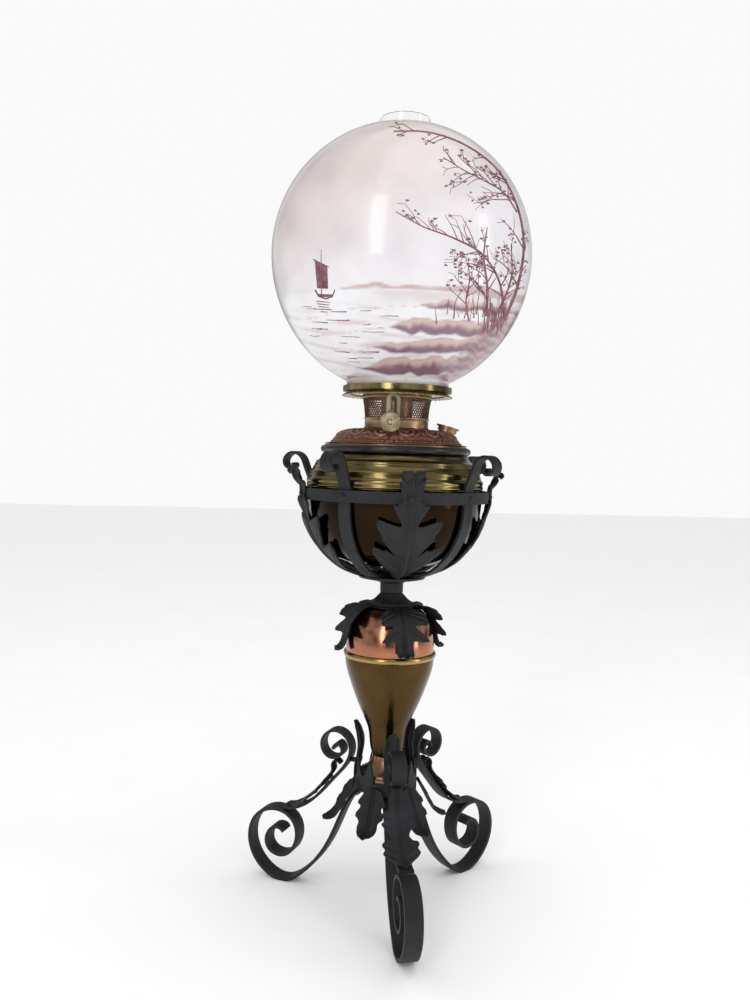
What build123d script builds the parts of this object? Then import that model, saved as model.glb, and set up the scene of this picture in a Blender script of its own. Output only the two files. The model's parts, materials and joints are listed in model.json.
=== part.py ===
from build123d import *
import math
import os

os.makedirs("parts", exist_ok=True)

# Table oil lamp with a central-draught burner, in millimetres, +Z up. The lamp's axis is the Z axis,
# the floor is Z = 0, and the front leg points along -Y.

# ---------------------------------------------------------------- driving dimensions
LEG_AZIMUTHS = {"front": -90, "right": 30, "left": 150}
LEG_WIDTH, LEG_THICKNESS = 16.5, 3.4
BRACE_WIDTH, BRACE_THICKNESS = 14.0, 2.8
COLLAR_RADIUS, COLLAR_BOTTOM, COLLAR_TOP = 31.0, 116.0, 127.0
LEAF_GAUGE = 1.6
ROD_RADIUS, ROD_BOTTOM, ROD_TOP = 4.0, 104.0, 350.0

FOOT_RADIUS, STEM_BOTTOM, STEM_TOP = 28.0, 149.0, 249.0
DOME_BOTTOM, DOME_TOP = 255.5, 299.0
CAP_BOTTOM, CAP_TOP, HUB_TOP = 301.0, 314.0, 330.6
CAP_LEAF_AZIMUTHS = (-83, 7, 97, 187)

# Nine members stand round the bowl, 40 degrees apart.
CAGE_LEAF_AZIMUTHS = (-91, -11, 69, 189)
CAGE_STRAP_AZIMUTHS = (-131, -51, 29, 109, 149)
STRAP_WIDTH, STRAP_GAUGE, STRAP_INNER = 12.5, 2.8, 88.2
HOOP_BOTTOM, HOOP_TOP, HOOP_GAUGE = 406.0, 417.0, 2.4
HOOP_INNER = STRAP_INNER + STRAP_GAUGE + 0.25  # the flat straps touch it along their edges
CAGE_LEAF_GAUGE = 2.0
RIVET_RADIUS = 1.6

BOWL_RADIUS, BOWL_BOTTOM, SHOULDER_BOTTOM, SHOULDER_TOP = 87.0, 342.0, 418.0, 452.0
SHEET = 1.2
RING_INNER, RING_OUTER, RING_BOTTOM, RING_TOP = 66.5, 74.5, 452.0, 459.0

TANK_RADIUS, TANK_BOTTOM, FLANGE_RADIUS = 65.0, 385.0, 70.5
DRUM_BOTTOM, BAND_TOP, DRUM_TOP = 476.5, 487.0, 508.0
DRUM_RADIUS, DRUM_TOP_RADIUS = 31.5, 34.5
DRAFT_TUBE_RADIUS, WICK_TUBE_RADIUS, TUBE_GAUGE = 12.0, 15.6, 0.8
DRAFT_TUBE_TOP, PLATE_RADIUS, PLATE_BOTTOM, PLATE_TOP = 514.0, 28.5, 511.0, 511.8

KNOB_AZIMUTH = -106
WICK_TRAVEL, SPINDLE_HEIGHT, SPINDLE_RADIUS = 20.0, 481.0, 1.5
KNOB_RADIUS, KNOB_BACK, KNOB_FRONT = 9.8, 60.0, 64.0
MODULE, PINION_TEETH = 0.6, 8
TOOTH_PITCH = math.pi * MODULE
SLOT_WIDTH, FRAME_WIDTH, ARCH_HEIGHT = 6.5, 13.4, 503.4
FRAME_BACK, FRAME_FRONT = 31.0, 36.6

FILLER_AZIMUTH, FILLER_RADIUS, FILLER_TILT = -11, 50.0, 15
FILLER_NECK_RADIUS, FILLER_CAP_RADIUS = 8.0, 11.5
FILLER_HEIGHT, FILLER_NECK_TOP = 474.6, 4.0

RING_FLOOR, SHADE_FITTER, FLANGE_OUTER = 513.0, 50.8, 54.0
GLOBE_CENTRE, GLOBE_RADIUS = 645.0, 127.5
GLOBE_UPPER, GLOBE_LOWER, GLOBE_WALL, GLOBE_HOLE = 127.0, 132.5, 2.5, 36.0
CHIMNEY_WALL, CHIMNEY_TOP = 1.8, 779.0


# ---------------------------------------------------------------- shared shapes
def side_plane(azimuth):
    """Plane through the lamp's axis: x runs outward, y is height."""
    angle = math.radians(azimuth)
    outward = (math.cos(angle), math.sin(angle), 0)
    return Plane(origin=(0, 0, 0), x_dir=outward, z_dir=(outward[1], -outward[0], 0))


def front_plane(azimuth, distance=0.0, height=0.0):
    """Plane that faces outward at a distance from the axis: x is tangential, y points up."""
    angle = math.radians(azimuth)
    outward = (math.cos(angle), math.sin(angle), 0)
    origin = (outward[0] * distance, outward[1] * distance, height)
    return Plane(origin=origin, x_dir=(-outward[1], outward[0], 0), z_dir=outward)


def ribbon(points, gauge):
    """Outline of a strip of constant thickness that follows a smooth centre line."""
    centre = Edge.make_spline([Vector(*point) for point in points])
    steps = 3 * len(points)
    rails = []
    for side in (gauge / 2, -gauge / 2):
        rail = []
        for step in range(steps + 1):
            along = centre.tangent_at(step / steps)
            rail.append(centre.position_at(step / steps) + Vector(-along.Y, along.X) * side)
        rails.append(rail)
    upper = Spline(*rails[0])
    lower = Spline(*rails[1])
    Line(upper @ 0, lower @ 0)
    Line(upper @ 1, lower @ 1)


def bent_strap(points, gauge, width, azimuth):
    """Flat bar of rectangular section, bent in the plane of the azimuth."""
    with BuildPart() as strap:
        with BuildSketch(side_plane(azimuth)):
            with BuildLine():
                ribbon(points, gauge)
            make_face()
        extrude(amount=width / 2, both=True)
    return strap


def bent_leaf(points, gauge, half_outline, azimuth):
    """Sheet leaf bent along the points and cut to a symmetric outline seen square on."""
    width = 2 * max(half for half, height in half_outline) + 2
    with BuildPart() as leaf:
        with BuildSketch(side_plane(azimuth)):
            with BuildLine():
                ribbon(points, gauge)
            make_face()
        extrude(amount=width / 2, both=True)
        with BuildSketch(front_plane(azimuth)):
            with BuildLine():
                right = Polyline(*half_outline)
                left = Polyline(*[(-half, height) for half, height in half_outline])
                Line(right @ 0, left @ 0)
                Line(right @ 1, left @ 1)
            make_face()
        extrude(amount=200, mode=Mode.INTERSECT)
    return leaf


def turned(outline):
    """Solid of revolution about the lamp's axis from a closed (radius, height) outline."""
    with BuildPart() as piece:
        with BuildSketch(Plane.XZ):
            with BuildLine():
                Polyline(*outline, close=True)
            make_face()
        revolve(axis=Axis.Z)
    return piece


def spun(points, gauge):
    """Spun or blown shell of constant thickness whose middle follows (radius, height) points."""
    with BuildPart() as piece:
        with BuildSketch(Plane.XZ):
            with BuildLine():
                ribbon(points, gauge)
            make_face()
        revolve(axis=Axis.Z)
    return piece


def tube(radius, gauge, bottom, top):
    """Plain tube about the lamp's axis, from its outer radius and its wall."""
    return turned([(radius - gauge, bottom), (radius, bottom), (radius, top), (radius - gauge, top)])


def save(piece, name, turn=0):
    """Write a piece to its own file, turned about the lamp's axis where a set of equal pieces is made."""
    placed = piece.part.rotate(Axis.Z, turn)
    placed.label = name
    export_step(placed, f"parts/{name}.step")


# ---------------------------------------------------------------- forged legs
leg_path = [(11, 113.2), (22.5, 112.6), (32.5, 104.5), (46, 80), (57, 54), (71, 31), (86, 14.5), (108, 1.3)]
leg_path += [(134, 11), (149.3, 43), (141, 66), (117, 75.3), (99, 66), (94.7, 47), (110, 27.7)]
leg_path += [(126, 32), (129.3, 44), (119, 56.3), (110, 52)]

brace_path = [(56.5, 147.5), (50.3, 153.6), (46.3, 147), (57.5, 138.6), (68.6, 148), (66, 161), (54, 167)]
brace_path += [(41, 160), (37.3, 149), (42.5, 133.5), (53.5, 119.5), (65, 106), (76.5, 93), (89.5, 83.4)]
brace_path += [(101, 79), (112, 78.2)]

brace_leaf_path = [(49, 132), (53.5, 135.5), (57.5, 131.5), (57.5, 124), (66.5, 112), (78.5, 98), (91.5, 87.2)]
brace_leaf_path += [(101, 82.2), (109, 80.9)]
brace_leaf_outline = [(5, 138), (6, 128), (7, 118), (14, 121), (13, 115), (15, 112), (12, 107), (6, 104)]
brace_leaf_outline += [(16, 105), (14.5, 99), (17, 94), (13, 88), (5, 80)]

leg = bent_strap(leg_path, LEG_THICKNESS, LEG_WIDTH, 0)
with leg:
    split(bisect_by=Plane.XY, keep=Keep.TOP)  # the feet are filed flat on the floor
brace = bent_strap(brace_path, BRACE_THICKNESS, BRACE_WIDTH, 0)
brace_leaf = bent_leaf(brace_leaf_path, LEAF_GAUGE, brace_leaf_outline, 0)
for side, azimuth in LEG_AZIMUTHS.items():
    save(leg, f"leg_{side}", azimuth)
    save(brace, f"brace_{side}", azimuth)
    save(brace_leaf, f"brace_leaf_{side}", azimuth)

# Six acanthus leaves hang from the collar between and beside the legs.
skirt_path = [(32.2, 124), (35.5, 118), (39.5, 111), (46.6, 98), (53.4, 89), (63.5, 85.5)]
skirt_outline = [(10, 125), (13.5, 117), (11, 113), (14, 107), (13.5, 103), (10, 101), (12.5, 95)]
skirt_outline += [(10, 91), (6.5, 88.5), (3, 84), (0.5, 80)]
skirt_leaf = bent_leaf(skirt_path, LEAF_GAUGE, skirt_outline, 0)
for count in range(6):
    save(skirt_leaf, f"skirt_leaf_{count + 1}", -60 + 60 * count)

# Three upright leaves stand in the collar in front of the braces.
crown_path = [(31.8, 119.5), (31.8, 132), (29.5, 146), (28.5, 158), (31, 170), (35.5, 179)]
crown_outline = [(8, 119), (8, 134), (9.5, 142), (7.5, 147), (8.2, 158), (7, 166), (4.5, 174), (1.5, 181)]
crown_leaf = bent_leaf(crown_path, LEAF_GAUGE, crown_outline, 0)
for side, azimuth in LEG_AZIMUTHS.items():
    save(crown_leaf, f"crown_leaf_{side}", azimuth)

# ---------------------------------------------------------------- collar, foot, stem and domes
TOOTH_HALF, TOOTH_TIP = 13, 149
tooth_outline = [(-TOOTH_HALF, 120), (-TOOTH_HALF, 133), (-9, TOOTH_TIP), (-5, 137), (0, 131), (5, 137)]
tooth_outline += [(9, TOOTH_TIP), (TOOTH_HALF, 133), (TOOTH_HALF, 120)]
with BuildPart() as crown_points:
    for azimuth in LEG_AZIMUTHS.values():
        with BuildSketch(front_plane(azimuth + 60)):
            with BuildLine():
                Polyline(*tooth_outline, close=True)
            make_face()
        extrude(amount=2 * COLLAR_RADIUS)
    with BuildSketch(Plane.XY.offset(COLLAR_TOP)):
        Circle(COLLAR_RADIUS)
        Circle(FOOT_RADIUS + 1.4, mode=Mode.SUBTRACT)
    extrude(amount=TOOTH_TIP - COLLAR_TOP, mode=Mode.INTERSECT)

with BuildPart() as base_collar:
    with BuildSketch(Plane.XY.offset(COLLAR_BOTTOM)):
        Circle(COLLAR_RADIUS)
        Circle(ROD_RADIUS, mode=Mode.SUBTRACT)
    extrude(amount=COLLAR_TOP - COLLAR_BOTTOM)
    add(crown_points.part)
save(base_collar, "base_collar")

# Cove-shaped foot of the stem, stepped at its rim.
with BuildPart() as stem_foot:
    with BuildSketch(Plane.XZ):
        with BuildLine():
            Spline((24, 134.6), (18.5, 139), (15.2, 144.5), (14.5, STEM_BOTTOM))
            rim = [(14.5, STEM_BOTTOM), (ROD_RADIUS, STEM_BOTTOM), (ROD_RADIUS, COLLAR_TOP)]
            rim += [(FOOT_RADIUS, COLLAR_TOP), (FOOT_RADIUS, 130), (26.6, 131), (26.6, 133.4), (24, 134.6)]
            Polyline(*rim)
        make_face()
    revolve(axis=Axis.Z)
save(stem_foot, "stem_foot")

# Teardrop stem, spun from sheet with a plate at each end.
stem_outline = [(14.5, STEM_BOTTOM), (17.5, 161), (19, 173), (25, 189), (32, 205), (38, 221), (43, 237)]
stem_outline += [(44.5, 247)]
with BuildPart() as stem:
    with BuildSketch(Plane.XZ):
        with BuildLine():
            outside = Spline(*stem_outline)
            hollow = [(radius - SHEET, height) for radius, height in stem_outline[1:]]
            inside = Spline((13.6, STEM_BOTTOM + 1.5), *hollow)
            Polyline(outside @ 1, (44.5, STEM_TOP), (ROD_RADIUS, STEM_TOP), (ROD_RADIUS, 247), inside @ 1)
            Polyline(outside @ 0, (ROD_RADIUS, STEM_BOTTOM), (ROD_RADIUS, STEM_BOTTOM + 1.5), inside @ 0)
        make_face()
    revolve(axis=Axis.Z)
save(stem, "stem")

with BuildPart() as dome_bead:
    with BuildSketch(Plane.XZ):
        with BuildLine():
            SagittaArc((44.5, STEM_TOP), (44.5, DOME_BOTTOM), -2)
            Polyline((44.5, DOME_BOTTOM), (40, DOME_BOTTOM), (40, 251), (ROD_RADIUS, 251))
            Polyline((ROD_RADIUS, 251), (ROD_RADIUS, STEM_TOP), (44.5, STEM_TOP))
        make_face()
    revolve(axis=Axis.Z)
save(dome_bead, "dome_bead")

dome_path = [(43.6, DOME_BOTTOM), (43.5, 263), (42.8, 270), (40.7, 280), (36.6, 288.5), (30.5, 295.2)]
dome_path += [(22, 297.8), (12, 298.2), (ROD_RADIUS, 298.2)]
save(spun(dome_path, SHEET), "copper_dome")

# Four cast leaves drape over the dome from one disc.
cap_leaf_path = [(14, 300), (24, 299.8), (33.5, 297), (40.2, 289.8), (44, 280.5), (46.2, 270)]
cap_leaf_path += [(48.7, 262.5), (52.7, 258.4), (57, 259)]
cap_leaf_outline = [(8, 303), (13, 297), (10, 292), (16, 287), (13, 281), (18, 276), (12, 271), (9, 266)]
cap_leaf_outline += [(6, 260), (1, 256)]
cap_leaf = bent_leaf(cap_leaf_path, LEAF_GAUGE, cap_leaf_outline, 0)
with BuildPart() as dome_leaf_cap:
    with BuildSketch(Plane.XY.offset(DOME_TOP)):
        Circle(22)
        Circle(ROD_RADIUS, mode=Mode.SUBTRACT)
    extrude(amount=CAP_BOTTOM - DOME_TOP)
    for azimuth in CAP_LEAF_AZIMUTHS:
        add(cap_leaf.part.rotate(Axis.Z, azimuth))
    Cylinder(ROD_RADIUS, 700, mode=Mode.SUBTRACT)
save(dome_leaf_cap, "dome_leaf_cap")

gadroon_outline = [(ROD_RADIUS, CAP_BOTTOM), (21.5, CAP_BOTTOM), (21.5, 303), (20.2, 304.6), (16.5, 306.4)]
gadroon_outline += [(13.2, 309.6), (11, 312.6), (10.5, CAP_TOP), (ROD_RADIUS, CAP_TOP)]
save(turned(gadroon_outline), "gadroon_cap")

hub_outline = [(ROD_RADIUS, CAP_TOP), (11.5, CAP_TOP), (11.5, 323), (15, 325), (33, 328.5), (34, HUB_TOP)]
hub_outline += [(10, HUB_TOP), (10, BOWL_BOTTOM), (ROD_RADIUS, BOWL_BOTTOM)]
save(turned(hub_outline), "cage_hub")

# One rod draws the whole stand together, from under the legs to inside the bowl.
with BuildPart() as tie_rod:
    with BuildSketch(Plane.XY.offset(ROD_BOTTOM)):
        Circle(ROD_RADIUS)
    extrude(amount=ROD_TOP - ROD_BOTTOM)
save(tie_rod, "tie_rod")

NUT_HEIGHT, WASHER_HEIGHT = 6.0, 1.5
WASHER_BOTTOM = leg_path[0][1] - LEG_THICKNESS / 2 - WASHER_HEIGHT
BOWL_FLOOR = BOWL_BOTTOM + SHEET + 0.2
with BuildPart() as rod_nuts:
    for bottom in (WASHER_BOTTOM - NUT_HEIGHT, BOWL_FLOOR + WASHER_HEIGHT):
        with BuildSketch(Plane.XY.offset(bottom)):
            RegularPolygon(6.5, 6, major_radius=False)
            Circle(ROD_RADIUS, mode=Mode.SUBTRACT)
        extrude(amount=NUT_HEIGHT)
    for bottom in (WASHER_BOTTOM, BOWL_FLOOR):
        with BuildSketch(Plane.XY.offset(bottom)):
            Circle(12)
            Circle(ROD_RADIUS, mode=Mode.SUBTRACT)
        extrude(amount=WASHER_HEIGHT)
save(rod_nuts, "rod_nuts")

# ---------------------------------------------------------------- cage
# Straps rise from the hub, pass inside the hoop and end in open scrolls.
strap_path = [(18.5, 332.4), (31, 332.4), (46, 336.6), (54, 340.8), (63, 347.6), (72.5, 357.2), (80.2, 368.6)]
strap_path += [(86, 380.5), (88.8, 391.5), (89.6, 402), (89.6, 412), (90.6, 421), (94.2, 430), (97.6, 438)]
strap_path += [(101.5, 446.3), (109, 451), (118, 448.5), (121.3, 441.3), (116.8, 435.3), (111, 436), (111.8, 440)]
cage_leaf_path = [(19, 332), (31, 332), (46, 336.9), (54.5, 341.1), (63.8, 348), (73.3, 357.6), (81, 368.8)]
cage_leaf_path += [(86.8, 380.2), (90.2, 391), (93.2, 399.5), (94.8, 406), (94.8, 417), (96.7, 424), (99.2, 429)]
cage_leaf_path += [(102, 433.6), (105, 435), (106.4, 432.8), (104.6, 431.2)]
cage_leaf_outline = [(6, 438), (9.5, 433), (10.3, 425), (6, 416.5), (13, 411), (9, 406), (14, 402.5), (9, 396)]
cage_leaf_outline += [(7, 384), (18, 390), (30, 394), (29, 386), (24, 380), (23.5, 373), (14, 368), (22, 367)]
cage_leaf_outline += [(30.5, 365.5), (26, 357), (19, 352), (16, 346), (9, 341), (4.5, 334), (4.5, 330)]


def rivet_hole(piece, azimuth, height):
    with piece:
        with Locations(front_plane(azimuth, STRAP_INNER - 1, height)):
            Cylinder(RIVET_RADIUS, 12, align=(Align.CENTER, Align.CENTER, Align.MIN), mode=Mode.SUBTRACT)


HOOP_MIDDLE = (HOOP_BOTTOM + HOOP_TOP) / 2
HOOP_OUTER = HOOP_INNER + HOOP_GAUGE
hoop = tube(HOOP_OUTER, HOOP_GAUGE, HOOP_BOTTOM, HOOP_TOP)
for azimuth in CAGE_STRAP_AZIMUTHS + CAGE_LEAF_AZIMUTHS:
    rivet_hole(hoop, azimuth, HOOP_MIDDLE)
save(hoop, "hoop")

cage_strap = bent_strap(strap_path, STRAP_GAUGE, STRAP_WIDTH, 0)
rivet_hole(cage_strap, 0, HOOP_MIDDLE)
for count, azimuth in enumerate(CAGE_STRAP_AZIMUTHS):
    save(cage_strap, f"cage_strap_{count + 1}", azimuth)

cage_leaf = bent_leaf(cage_leaf_path, CAGE_LEAF_GAUGE, cage_leaf_outline, 0)
rivet_hole(cage_leaf, 0, HOOP_MIDDLE)
for count, azimuth in enumerate(CAGE_LEAF_AZIMUTHS):
    save(cage_leaf, f"cage_leaf_{count + 1}", azimuth)


def add_rivet(plane, shank):
    """Round-headed rivet: the head stands on the plane and the shank runs back from it."""
    upward = (Align.CENTER, Align.CENTER, Align.MIN)
    with Locations(plane):
        Sphere(3.6, arc_size1=30, arc_size2=90, align=upward)
        Cylinder(RIVET_RADIUS, shank, align=(Align.CENTER, Align.CENTER, Align.MAX))


STUD_HEIGHT, STUD_RADIUS = 138.0, 2.5
with BuildPart() as rivets:
    for azimuth in CAGE_STRAP_AZIMUTHS:
        add_rivet(front_plane(azimuth, HOOP_OUTER, HOOP_MIDDLE), HOOP_GAUGE + STRAP_GAUGE)
    leaf_face = HOOP_OUTER + CAGE_LEAF_GAUGE + 0.3
    for azimuth in CAGE_LEAF_AZIMUTHS:
        add_rivet(front_plane(azimuth, leaf_face, HOOP_MIDDLE), HOOP_GAUGE + CAGE_LEAF_GAUGE + 0.3)
    for azimuth in LEG_AZIMUTHS.values():
        with Locations(front_plane(azimuth, 31.5, STUD_HEIGHT)):
            Cylinder(STUD_RADIUS, 8, align=(Align.CENTER, Align.CENTER, Align.MIN))
    for azimuth in LEG_AZIMUTHS.values():
        add(crown_leaf.part.rotate(Axis.Z, azimuth), mode=Mode.SUBTRACT)
        add(brace.part.rotate(Axis.Z, azimuth), mode=Mode.SUBTRACT)
save(rivets, "rivets")

# ---------------------------------------------------------------- holder
bowl_path = [(ROD_RADIUS, 342.6), (16, 342.6), (30, 342.7), (48, 345.8), (62, 352.4), (72.5, 362.5), (80, 376)]
bowl_path += [(84.6, 391), (86.2, 404), (BOWL_RADIUS - SHEET / 2, SHOULDER_BOTTOM)]
holder_bowl = spun(bowl_path, SHEET)
with holder_bowl:
    with PolarLocations(22, 8):
        Cylinder(3, 700, mode=Mode.SUBTRACT)  # air for the central draught
save(holder_bowl, "holder_bowl")

reeds = [(86.8, 422), (86, 428), (84, 434), (80.5, 439.6), (75.6, 444.8), (70.5, 449.4)]
with BuildPart() as shoulder:
    with BuildSketch(Plane.XZ):
        with BuildLine():
            Polyline((BOWL_RADIUS - SHEET, SHOULDER_BOTTOM), (BOWL_RADIUS, SHOULDER_BOTTOM), reeds[0])
            for start, end in zip(reeds, reeds[1:]):
                SagittaArc(start, end, -0.9)
            Polyline(reeds[-1], (70.5, SHOULDER_TOP), (68.8, SHOULDER_TOP), (68.8, 448.6))
            Polyline((68.8, 448.6), (79, 439), (84.4, 428), (BOWL_RADIUS - SHEET, SHOULDER_BOTTOM))
        make_face()
    revolve(axis=Axis.Z)
save(shoulder, "shoulder")

with BuildPart() as rim_ring:
    with BuildSketch(Plane.XZ) as bead:
        with Locations(((RING_INNER + RING_OUTER) / 2, (RING_BOTTOM + RING_TOP) / 2)):
            Rectangle(RING_OUTER - RING_INNER, RING_TOP - RING_BOTTOM)
        fillet(bead.vertices().group_by(Axis.X)[-1], 3.3)
        fillet(bead.vertices().group_by(Axis.X)[0], 1.0)
    revolve(axis=Axis.Z)
save(rim_ring, "rim_ring")

# ---------------------------------------------------------------- font: the drop-in oil tank
FLANGE_TOP = RING_TOP + SHEET
tank_outline = [(DRAFT_TUBE_RADIUS, TANK_BOTTOM), (56, TANK_BOTTOM), (TANK_RADIUS, 394)]
tank_outline += [(TANK_RADIUS, RING_TOP), (FLANGE_RADIUS, RING_TOP), (FLANGE_RADIUS, FLANGE_TOP)]
tank_outline += [(TANK_RADIUS - SHEET, FLANGE_TOP), (TANK_RADIUS - SHEET, 394.5)]
tank_outline += [(55.5, TANK_BOTTOM + SHEET), (DRAFT_TUBE_RADIUS, TANK_BOTTOM + SHEET)]
save(turned(tank_outline), "tank")

# The filler's axis leans outward. Its heights are counted from where it leaves the tank's top.
filler_angle = math.radians(FILLER_AZIMUTH)
filler_lean = math.radians(FILLER_TILT)
filler_axis = Vector(
    math.sin(filler_lean) * math.cos(filler_angle),
    math.sin(filler_lean) * math.sin(filler_angle),
    math.cos(filler_lean),
)
filler_root = Vector(
    FILLER_RADIUS * math.cos(filler_angle), FILLER_RADIUS * math.sin(filler_angle), FILLER_HEIGHT
)
filler_plane = Plane(origin=filler_root, z_dir=filler_axis)


def filler_disc(radius, hole, bottom, top):
    """Ring or disc on the filler's axis."""
    with BuildPart() as disc:
        with BuildSketch(filler_plane.offset(bottom)):
            Circle(radius)
            if hole:
                Circle(hole, mode=Mode.SUBTRACT)
        extrude(amount=top - bottom)
    return disc


dome_seat = FLANGE_TOP + SHEET / 2 + 0.2
tank_dome_path = [(70.2, dome_seat), (68.8, dome_seat), (67, dome_seat + 0.2), (64.7, 462.6), (61.8, 466.2)]
tank_dome_path += [(59, 470), (55.5, 472.6), (50, 474.6), (44, 475.7), (37, DRUM_BOTTOM - SHEET / 2)]
tank_dome_path += [(28.6, DRUM_BOTTOM - SHEET / 2)]
tank_dome = spun(tank_dome_path, SHEET)
filler_neck = filler_disc(FILLER_NECK_RADIUS, FILLER_NECK_RADIUS - SHEET, -4, FILLER_NECK_TOP)
with tank_dome:
    with Locations(filler_plane):
        Cylinder(FILLER_NECK_RADIUS, 20, mode=Mode.SUBTRACT)
save(tank_dome, "tank_dome")
save(filler_neck, "filler_neck")

WASHER_TOP = FILLER_NECK_TOP + 0.6
save(filler_disc(FILLER_NECK_RADIUS - 0.2, 0, FILLER_NECK_TOP, WASHER_TOP), "filler_washer")
CAP_SKIRT_BOTTOM = 0.8
with BuildPart() as filler_cap:
    with BuildSketch(filler_plane.offset(WASHER_TOP)):
        Circle(FILLER_CAP_RADIUS)
    extrude(amount=1.6)
    with BuildSketch(filler_plane.offset(CAP_SKIRT_BOTTOM)):
        Circle(FILLER_NECK_RADIUS + 1.6)
        Circle(FILLER_NECK_RADIUS + 0.3, mode=Mode.SUBTRACT)
    extrude(amount=WASHER_TOP - CAP_SKIRT_BOTTOM)
save(filler_cap, "filler_cap")

# ---------------------------------------------------------------- burner
save(tube(DRAFT_TUBE_RADIUS, TUBE_GAUGE, TANK_BOTTOM - 2, DRAFT_TUBE_TOP), "draft_tube")

# The wick tube hangs from a plate with air holes. Two slots let the carrier's pins through to the wick.
PIN_RADIUS, PIN_GAP = 1.0, 0.3
wick_tube_inner = WICK_TUBE_RADIUS - TUBE_GAUGE
wick_tube_outline = [(wick_tube_inner, 456), (WICK_TUBE_RADIUS, 456), (WICK_TUBE_RADIUS, PLATE_BOTTOM)]
wick_tube_outline += [(PLATE_RADIUS, PLATE_BOTTOM), (PLATE_RADIUS, PLATE_TOP), (wick_tube_inner, PLATE_TOP)]
wick_tube = turned(wick_tube_outline)
with wick_tube:
    with PolarLocations(21.3, 12):
        Cylinder(2.6, 1200, mode=Mode.SUBTRACT)
    for azimuth in (KNOB_AZIMUTH + 90, KNOB_AZIMUTH - 90):
        with Locations(front_plane(azimuth, WICK_TUBE_RADIUS, SPINDLE_HEIGHT + WICK_TRAVEL / 2)):
            Box(2 * (PIN_RADIUS + PIN_GAP), WICK_TRAVEL + 2 * (PIN_RADIUS + PIN_GAP), 5, mode=Mode.SUBTRACT)
save(wick_tube, "wick_tube")

# Draught cage: a plain band below and a pierced flaring drum above, slotted for the wick spindle.
ARCH_RADIUS, FRAME_BAR = SLOT_WIDTH / 2, 1.1
drum_profile = [(DRUM_RADIUS, DRUM_BOTTOM), (DRUM_RADIUS, BAND_TOP), (32.6, 498), (DRUM_TOP_RADIUS, DRUM_TOP)]
drum_inner = [(radius - 1, height) for radius, height in reversed(drum_profile)]
draft_cage = turned(drum_profile + drum_inner)


def spindle_slot():
    """Cut the round-topped slot for the spindle, from the bar at its foot up to the arch."""
    foot = DRUM_BOTTOM + FRAME_BAR
    with Locations(front_plane(KNOB_AZIMUTH, FRAME_BACK, (foot + ARCH_HEIGHT) / 2)):
        Box(SLOT_WIDTH, ARCH_HEIGHT - foot, 16, mode=Mode.SUBTRACT)
    with Locations(front_plane(KNOB_AZIMUTH, FRAME_BACK, ARCH_HEIGHT)):
        Cylinder(ARCH_RADIUS, 16, mode=Mode.SUBTRACT)


LATTICE_COLUMNS, LATTICE_HOLE = 24, 3.0
with draft_cage:
    spindle_slot()
    for row in range(3):
        for column in range(LATTICE_COLUMNS):
            turn = 360 / LATTICE_COLUMNS * (column + row % 2 / 2) + KNOB_AZIMUTH
            away = abs((turn - KNOB_AZIMUTH + 180) % 360 - 180)
            if away < 14:
                continue
            with Locations(front_plane(turn, DRUM_RADIUS, 491.5 + 5.5 * row)):
                Box(LATTICE_HOLE, LATTICE_HOLE, 8, rotation=(0, 0, 45), mode=Mode.SUBTRACT)
save(draft_cage, "draft_cage")

# Rack frame: an inverted U round the slot, with the rack's teeth along its left inner edge.
rack_teeth = [SPINDLE_HEIGHT + TOOTH_PITCH * count for count in range(-1, 13)]
rack_tooth = [(-ARCH_RADIUS - 0.4, 0.66), (-ARCH_RADIUS, 0.66), (-1.9, 0.2), (-1.9, -0.2), (-ARCH_RADIUS, -0.66)]
rack_tooth += [(-ARCH_RADIUS - 0.4, -0.66)]
with BuildPart() as rack_frame:
    with BuildSketch(front_plane(KNOB_AZIMUTH, FRAME_BACK)):
        with Locations((0, (DRUM_BOTTOM + ARCH_HEIGHT) / 2)):
            Rectangle(FRAME_WIDTH, ARCH_HEIGHT - DRUM_BOTTOM)
        with Locations((0, ARCH_HEIGHT)):
            Circle(FRAME_WIDTH / 2)
    extrude(amount=FRAME_FRONT - FRAME_BACK)
    spindle_slot()
    with BuildSketch(front_plane(KNOB_AZIMUTH, FRAME_BACK)):
        for height in rack_teeth:
            with BuildLine():
                Polyline(*[(x, y + height) for x, y in rack_tooth], close=True)
            make_face()
    extrude(amount=FRAME_FRONT - FRAME_BACK)
    with BuildSketch(Plane.XZ):
        with BuildLine():
            neck = [(DRUM_TOP_RADIUS, DRUM_TOP + 5), (0, DRUM_TOP + 5), (0, DRUM_BOTTOM)]
            Polyline(*drum_profile, *neck, close=True)
        make_face()
    revolve(axis=Axis.Z, mode=Mode.SUBTRACT)
save(rack_frame, "rack_frame")

# ---------------------------------------------------------------- wick and its lift
WICK_OUTER, WICK_INNER, WICK_TOP = 14.5, 12.3, 494
save(tube(WICK_OUTER, WICK_OUTER - WICK_INNER, 400, WICK_TOP), "wick")

with BuildPart() as wick_carrier:
    with BuildSketch(Plane.XY.offset(SPINDLE_HEIGHT - 3)):
        Circle(19)
        Circle(WICK_TUBE_RADIUS + PIN_GAP, mode=Mode.SUBTRACT)
    extrude(amount=6)
    for azimuth in (KNOB_AZIMUTH + 90, KNOB_AZIMUTH - 90):
        with Locations(front_plane(azimuth, WICK_OUTER, SPINDLE_HEIGHT)):
            Cylinder(PIN_RADIUS, 3, align=(Align.CENTER, Align.CENTER, Align.MIN))
    with Locations(front_plane(KNOB_AZIMUTH, 18, SPINDLE_HEIGHT)):
        Cylinder(3, 10.5, align=(Align.CENTER, Align.CENTER, Align.MIN))
    with Locations(front_plane(KNOB_AZIMUTH, 19.5, SPINDLE_HEIGHT)):
        Cylinder(SPINDLE_RADIUS + 0.05, 10, align=(Align.CENTER, Align.CENTER, Align.MIN), mode=Mode.SUBTRACT)
save(wick_carrier, "wick_carrier")

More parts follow.
